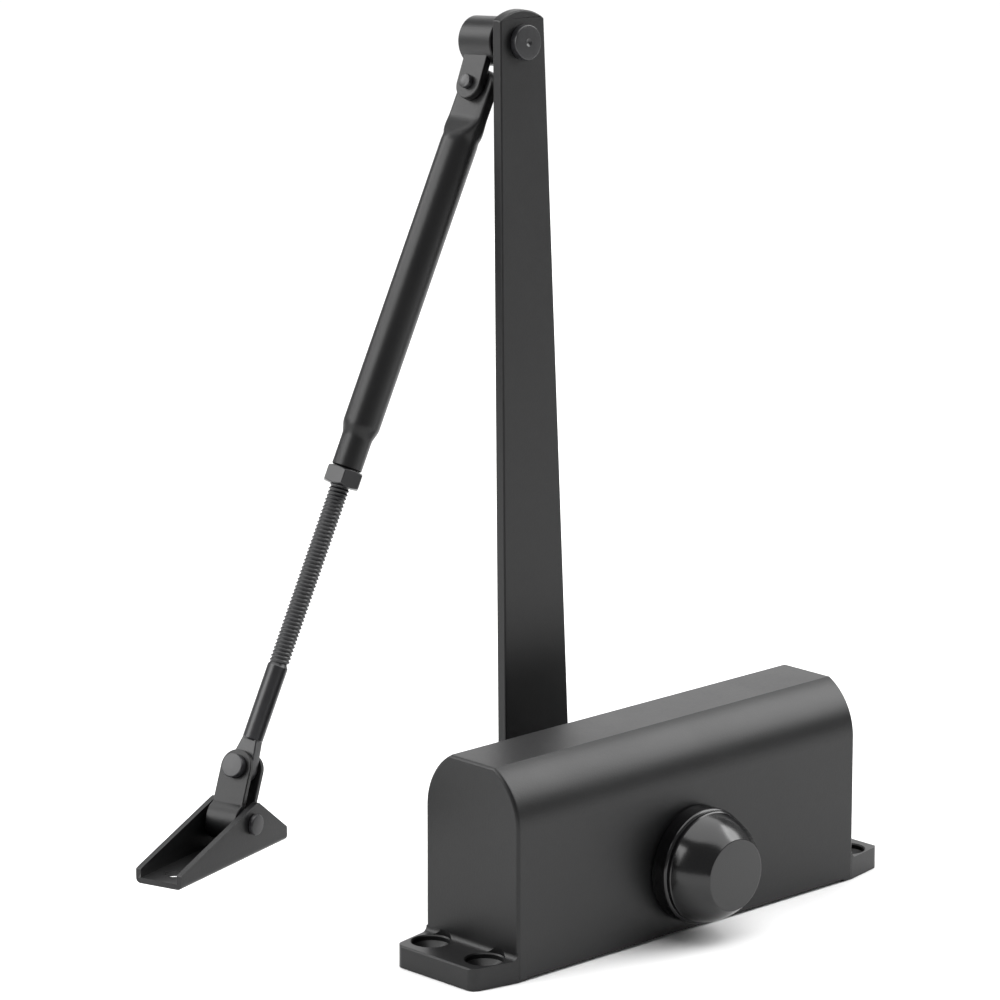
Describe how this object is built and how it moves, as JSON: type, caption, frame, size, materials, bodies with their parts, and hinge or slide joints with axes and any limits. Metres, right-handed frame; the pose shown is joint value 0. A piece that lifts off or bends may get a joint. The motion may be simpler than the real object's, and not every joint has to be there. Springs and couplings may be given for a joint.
{
  "type": "door closer",
  "caption": "Surface-mounted black door closer: a long round-topped hydraulic body on screw feet, a conical pinion cover, and a folding arm with an adjustable rod and a frame bracket.",
  "frame": {"origin": "centre of the body's underside pad, on the face that lies against the door", "axes": "+X along the body towards the end with the plug and valves, +Y out of the body on the arm's side, +Z away from the door face and up the upright arm"},
  "size_m": [0.2288, 0.1378, 0.2774],
  "materials": {
    "black_coat": "satin black powder coat",
    "black_plastic": "moulded black, half gloss",
    "black_steel": "blackened steel, half gloss",
    "steel": "machined",
    "bronze": "sintered bronze",
    "spring_steel": "oiled spring wire",
    "seal_rubber": "moulded"
  },
  "bodies": {
    "body": {"housing": "black_coat", "end_plug": "steel", "end_plug_seal": "seal_rubber", "gland_front": "black_steel", "gland_rear": "black_steel", "bush_front": "bronze", "bush_rear": "bronze", "shaft_seal_front": "seal_rubber", "shaft_seal_rear": "seal_rubber", "pinion_cover": "black_plastic", "main_spring": "spring_steel"},
    "piston": {"piston": "steel", "check_ball": "steel", "check_retainer": "steel"},
    "drive": {"pinion": "steel", "main_arm": "black_coat", "arm_screw": "black_steel", "arm_washer": "black_steel", "elbow_pin": "black_steel", "elbow_washer": "black_steel"},
    "elbow": {"knuckle": "black_coat", "knuckle_rivet": "black_steel"},
    "forearm": {"forearm_tube": "black_coat"},
    "lock_nut": {"lock_nut": "black_steel"},
    "rod": {"adjusting_rod": "black_steel"},
    "yoke": {"yoke": "black_coat", "yoke_rivet": "black_steel"},
    "bracket": {"bracket": "black_coat", "bracket_pin": "black_steel"},
    "sweep_valve": {"sweep_valve": "steel", "sweep_valve_seal": "seal_rubber"},
    "latch_valve": {"latch_valve": "steel", "latch_valve_seal": "seal_rubber"}
  },
  "joints": [
    {"name": "pinion_turn", "type": "hinge", "parent": "body", "child": "drive", "pos_m": [0.0007, 0, 0.0219], "axis": [0, -1, 0], "range_deg": [0, 170], "stiffness_Nm_per_rad": 2.5, "springref_deg": -171.89},
    {"name": "piston_slide", "type": "slide", "parent": "body", "child": "piston", "axis": [-1, 0, 0], "range_m": [0, 0.0223], "deforming": ["main_spring"]},
    {"name": "elbow_turn", "type": "hinge", "parent": "drive", "child": "elbow", "pos_m": [0.0135, 0.08376, 0.26606], "axis": [-0.0045, 0.9963, -0.0858], "range_deg": [-10, 130]},
    {"name": "forearm_tilt", "type": "hinge", "parent": "elbow", "child": "forearm", "pos_m": [0.00705, 0.08254, 0.25223], "axis": [0.9014, -0.0331, -0.4316], "range_deg": [-4, 20]},
    {"name": "lock_nut_turn", "type": "hinge", "parent": "forearm", "child": "lock_nut", "pos_m": [-0.09066, 0.08702, 0.04783], "axis": [-0.4312, 0.0198, -0.902], "range_deg": [0, 360]},
    {"name": "forearm_adjust", "type": "slide", "parent": "forearm", "child": "rod", "axis": [-0.4312, 0.0198, -0.902], "range_m": [-0.035, 0.025]},
    {"name": "yoke_turn", "type": "hinge", "parent": "rod", "child": "yoke", "pos_m": [-0.09066, 0.08702, 0.04783], "axis": [0.8755, 0.251, -0.413], "range_deg": [-25, 25]},
    {"name": "bracket_turn", "type": "hinge", "parent": "yoke", "child": "bracket", "pos_m": [-0.09721, 0.08514, 0.0328], "axis": [-0.2756, 0.9613, 0], "range_deg": [-40, 40]},
    {"name": "sweep_valve_turn", "type": "hinge", "parent": "body", "child": "sweep_valve", "pos_m": [0.0744, 0.0085, 0.0125], "axis": [1, 0, 0], "range_deg": [0, 360]},
    {"name": "latch_valve_turn", "type": "hinge", "parent": "body", "child": "latch_valve", "pos_m": [0.0744, -0.0085, 0.0125], "axis": [1, 0, 0], "range_deg": [0, 360]}
  ],
  "couplings": [
    {"joint": "piston_slide", "follows": "pinion_turn", "m_per_rad": 0.0075}
  ]
}
